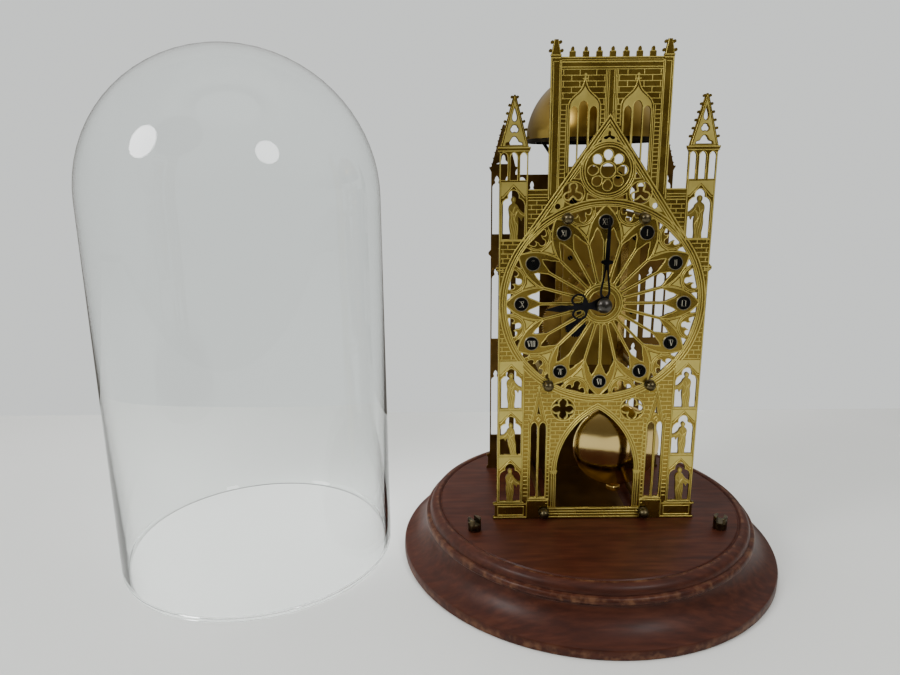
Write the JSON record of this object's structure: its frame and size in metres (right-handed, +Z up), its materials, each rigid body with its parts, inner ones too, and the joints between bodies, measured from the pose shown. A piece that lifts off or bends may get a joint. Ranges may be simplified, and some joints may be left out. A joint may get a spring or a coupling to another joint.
{
  "type": "skeleton clock",
  "caption": "Cathedral-front skeleton clock on a round wooden base: pierced facades, open movement, pendulum, bell and a separate glass dome.",
  "frame": {"origin": "centre of the wooden base's underside", "axes": "+Z up, the dial faces -Y, +X to the right seen from the front"},
  "size_m": [0.4935, 0.2798, 0.368],
  "materials": {
    "mahogany": "satin, French polished, worn at the edges",
    "etched_brass": "etched relief, lacquered, bright raised lines on a darker field",
    "dark_brass": "dull, tarnished, soft reflections",
    "polished_brass": "polished",
    "antique_brass": "polished over a dark patina",
    "black_enamel": "semi-gloss black with gold lettering",
    "blued_steel": "dark, satin",
    "clear_glass": "clear, polished"
  },
  "bodies": {
    "frame": {"wood_base": "mahogany", "floor_plate": "dark_brass", "dome_stud_left": "antique_brass", "dome_stud_right": "antique_brass", "front_plate": "etched_brass", "back_plate": "dark_brass", "pillar_top_left": "polished_brass", "nut_top_left": "antique_brass", "pillar_top_right": "polished_brass", "nut_top_right": "antique_brass", "pillar_middle_left": "polished_brass", "nut_middle_left": "antique_brass", "pillar_middle_right": "polished_brass", "nut_middle_right": "antique_brass", "pillar_foot_left": "polished_brass", "nut_foot_left": "antique_brass", "pillar_foot_right": "polished_brass", "nut_foot_right": "antique_brass", "numeral_disc_01": "black_enamel", "numeral_disc_02": "black_enamel", "numeral_disc_03": "black_enamel", "numeral_disc_04": "black_enamel", "numeral_disc_05": "black_enamel", "numeral_disc_06": "black_enamel", "numeral_disc_07": "black_enamel", "numeral_disc_08": "black_enamel", "numeral_disc_09": "black_enamel", "numeral_disc_10": "black_enamel", "numeral_disc_11": "black_enamel", "numeral_disc_12": "black_enamel", "movement_front_plate": "polished_brass", "movement_back_plate": "polished_brass", "movement_pillar_upper_left": "polished_brass", "movement_pillar_upper_right": "polished_brass", "movement_pillar_lower_left": "polished_brass", "movement_pillar_lower_right": "polished_brass", "click_spring": "blued_steel", "suspension_cock": "polished_brass", "bell": "polished_brass", "bell_post": "polished_brass", "bell_nut": "polished_brass"},
    "dome": {"glass_dome": "clear_glass"},
    "minute_work": {"centre_wheel": "polished_brass", "cannon_pinion": "polished_brass", "minute_hand": "blued_steel", "hand_nut": "blued_steel"},
    "hour_work": {"hour_wheel": "polished_brass", "hour_hand": "blued_steel"},
    "motion_wheel": {"minute_wheel": "polished_brass"},
    "barrel": {"going_barrel": "polished_brass"},
    "winding": {"winding_arbor": "blued_steel"},
    "click_lever": {"click": "blued_steel"},
    "third": {"third_wheel": "polished_brass"},
    "escape": {"escape_wheel": "polished_brass"},
    "pallets": {"anchor": "blued_steel"},
    "pendulum": {"pendulum_rod": "polished_brass", "pendulum_bob": "polished_brass"},
    "rating": {"rating_nut": "polished_brass"},
    "strike_hammer": {"hammer": "blued_steel"}
  },
  "joints": [
    {"name": "dome_lift", "type": "slide", "parent": "frame", "child": "dome", "axis": [0, 0, 1], "range_m": [0, 0.34]},
    {"name": "minute_turn", "type": "hinge", "parent": "frame", "child": "minute_work", "pos_m": [0, 0, 0.196], "axis": [0, 1, 0], "continuous": true},
    {"name": "hour_turn", "type": "hinge", "parent": "frame", "child": "hour_work", "pos_m": [0, -0.02, 0.196], "axis": [0, 1, 0], "continuous": true},
    {"name": "motion_wheel_turn", "type": "hinge", "parent": "frame", "child": "motion_wheel", "pos_m": [-0.0096, 0.001, 0.2032], "axis": [0, 1, 0], "continuous": true},
    {"name": "barrel_turn", "type": "hinge", "parent": "frame", "child": "barrel", "pos_m": [-0.011, 0.018, 0.17217], "axis": [0, 1, 0], "continuous": true},
    {"name": "third_turn", "type": "hinge", "parent": "frame", "child": "third", "pos_m": [-0.00286, 0.02, 0.21688], "axis": [0, 1, 0], "continuous": true},
    {"name": "escape_turn", "type": "hinge", "parent": "frame", "child": "escape", "pos_m": [0.0142, 0.015, 0.2226], "axis": [0, 1, 0], "continuous": true},
    {"name": "winding_turn", "type": "hinge", "parent": "frame", "child": "winding", "pos_m": [-0.011, 0.03, 0.17217], "axis": [0, 1, 0], "continuous": true},
    {"name": "click_lift", "type": "hinge", "parent": "frame", "child": "click_lever", "pos_m": [-0.00867, 0.0016, 0.18313], "axis": [0, -1, 0], "range_deg": [0, 8], "stiffness_Nm_per_rad": 0.0005},
    {"name": "pendulum_swing", "type": "hinge", "parent": "frame", "child": "pendulum", "pos_m": [0.0215, -0.0011, 0.2364], "axis": [0, 1, 0], "range_deg": [-2.5, 2.5]},
    {"name": "anchor_rock", "type": "hinge", "parent": "frame", "child": "pallets", "pos_m": [0.0215, 0.0117, 0.2364], "axis": [0, 1, 0], "range_deg": [-2.5, 2.5]},
    {"name": "rating_nut_turn", "type": "hinge", "parent": "pendulum", "child": "rating", "pos_m": [0.0215, -0.0011, 0.0465], "axis": [0, 0, 1], "continuous": true},
    {"name": "hammer_lift", "type": "hinge", "parent": "frame", "child": "strike_hammer", "pos_m": [-0.008, 0.025, 0.2744], "axis": [0, 1, 0], "range_deg": [0, 8]}
  ],
  "couplings": [
    {"joint": "hour_turn", "follows": "minute_turn", "ratio": 0.083333},
    {"joint": "motion_wheel_turn", "follows": "minute_turn", "ratio": -0.33333},
    {"joint": "barrel_turn", "follows": "minute_turn", "ratio": -0.125},
    {"joint": "third_turn", "follows": "minute_turn", "ratio": -12},
    {"joint": "escape_turn", "follows": "minute_turn", "ratio": 150.86},
    {"joint": "anchor_rock", "follows": "pendulum_swing", "ratio": 1}
  ]
}
